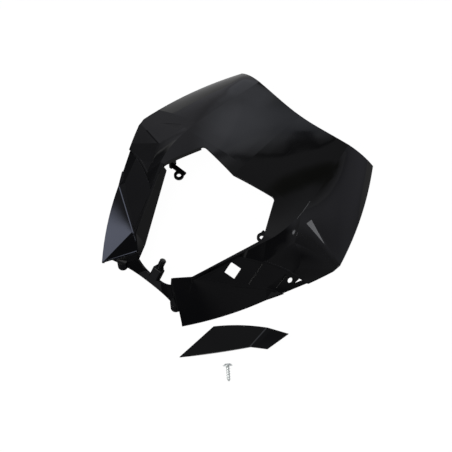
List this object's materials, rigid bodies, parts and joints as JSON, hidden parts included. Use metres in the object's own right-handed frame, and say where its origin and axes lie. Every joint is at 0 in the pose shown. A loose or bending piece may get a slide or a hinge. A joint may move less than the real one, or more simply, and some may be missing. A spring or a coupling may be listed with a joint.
{
  "type": "motorcycle headlight mask",
  "caption": "Moulded motorcycle headlight mask with an angular lamp opening and a trim panel set into each flank; the right panel and its screw lie loose beside it.",
  "frame": {"origin": "midway between the two fixing holes inside the lamp opening, level with the front faces of their tabs", "axes": "+Z out of the mask's front, up as it lies on its rim; +Y towards the mask's top edge; +X to the flank whose trim panel is off. The mask is its own mirror image across X = 0"},
  "size_m": [0.274, 0.2927, 0.0497],
  "materials": {
    "shell": "high gloss black paint over moulded plastic",
    "trim": "satin black moulded plastic",
    "screw": "bright zinc"
  },
  "bodies": {
    "root": {"mask_shell": "shell", "left_trim_panel": "trim", "right_trim_panel": "trim", "trim_screw": "screw"}
  },
  "joints": []
}
